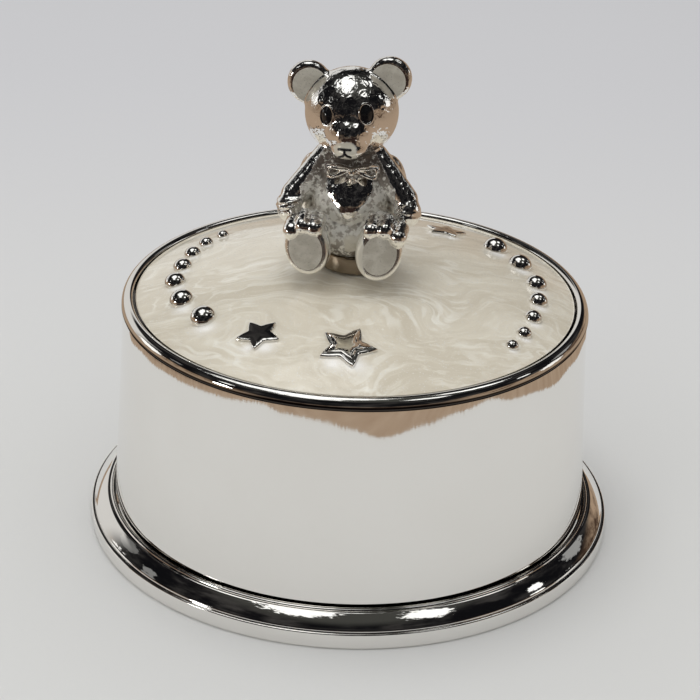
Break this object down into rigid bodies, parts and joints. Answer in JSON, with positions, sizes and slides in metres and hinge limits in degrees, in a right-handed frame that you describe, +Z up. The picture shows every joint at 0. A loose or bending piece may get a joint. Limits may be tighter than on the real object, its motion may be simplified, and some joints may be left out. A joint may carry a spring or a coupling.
{
  "type": "music box",
  "caption": "round wind-up musical box with a beaded, star-set enamel lid and a seated bear that turns as the pinned cylinder inside plays its comb",
  "frame": {"origin": "centre of the foot's rest face, on the axis of the drum and of the turning bear", "axes": "+Z up along the axis of the drum, -Y towards the front that the bear nearly faces, +X to the right as seen from the front, along the cylinder's axis"},
  "size_m": [0.0962, 0.0962, 0.0896],
  "materials": {
    "silver_plate": "polished silver plate",
    "cast_silver": "polished silver plate over a casting, darker in its hollows",
    "pearl_enamel": "glossy cream pearl enamel with swirls",
    "grey_enamel": "glossy warm grey enamel",
    "black_enamel": "glossy black enamel",
    "plated_steel": "nickel-plated steel",
    "spring_steel": "blued spring steel",
    "comb_steel": "ground hardened steel",
    "brass": "bright brass",
    "zinc": "dull die-cast zinc",
    "black_felt": "black felt",
    "white_nylon": "off-white moulded nylon"
  },
  "bodies": {
    "root": {"foot_ring": "silver_plate", "drum_wall": "silver_plate", "lid_casting": "silver_plate", "enamel_field": "pearl_enamel", "spindle_bush": "brass", "base_plate": "plated_steel", "base_felt": "black_felt", "base_screw_1": "plated_steel", "base_screw_2": "plated_steel", "base_screw_3": "plated_steel", "movement_screw_1": "plated_steel", "movement_screw_2": "plated_steel", "movement_screw_3": "plated_steel", "bedplate": "zinc", "comb": "comb_steel", "comb_screw_1": "plated_steel", "comb_screw_2": "plated_steel", "spring_housing": "brass", "mainspring": "spring_steel", "governor_bracket": "plated_steel", "bracket_screw": "plated_steel"},
    "turntable": {"great_wheel": "brass", "click_spring": "spring_steel", "spindle": "plated_steel", "bear_plinth": "silver_plate", "bear": "cast_silver", "ear_enamel_left": "grey_enamel", "ear_enamel_right": "grey_enamel", "sole_enamel_left": "grey_enamel", "sole_enamel_right": "grey_enamel", "eye_left": "black_enamel", "eye_right": "black_enamel"},
    "key": {"winding_arbor": "plated_steel", "ratchet_wheel": "plated_steel", "winding_key": "plated_steel"},
    "cylinder": {"pinned_cylinder": "brass", "cylinder_arbor": "plated_steel", "cylinder_end_gear": "brass"},
    "governor": {"governor_arbor": "plated_steel", "worm_wheel": "white_nylon"},
    "fly": {"governor_worm": "plated_steel", "air_brake": "white_nylon"}
  },
  "joints": [
    {"name": "bear_turn", "type": "hinge", "parent": "root", "child": "turntable", "pos_m": [0, 0, 0.0542], "axis": [0, 0, 1], "continuous": true},
    {"name": "key_wind", "type": "hinge", "parent": "turntable", "child": "key", "pos_m": [0, 0, 0.0042], "axis": [0, 0, 1], "range_deg": [0, 1440]},
    {"name": "cylinder_spin", "type": "hinge", "parent": "root", "child": "cylinder", "pos_m": [0.02346, 0, 0.0206], "axis": [1, 0, 0], "continuous": true},
    {"name": "governor_spin", "type": "hinge", "parent": "root", "child": "governor", "pos_m": [0.03356, 0.0036, 0.02684], "axis": [1, 0, 0], "continuous": true},
    {"name": "fly_spin", "type": "hinge", "parent": "root", "child": "fly", "pos_m": [0.03486, 0.00896, 0.02684], "axis": [0, 0, 1], "continuous": true}
  ],
  "couplings": [
    {"joint": "cylinder_spin", "follows": "bear_turn", "ratio": -3},
    {"joint": "governor_spin", "follows": "bear_turn", "ratio": 9},
    {"joint": "fly_spin", "follows": "bear_turn", "ratio": -81}
  ]
}
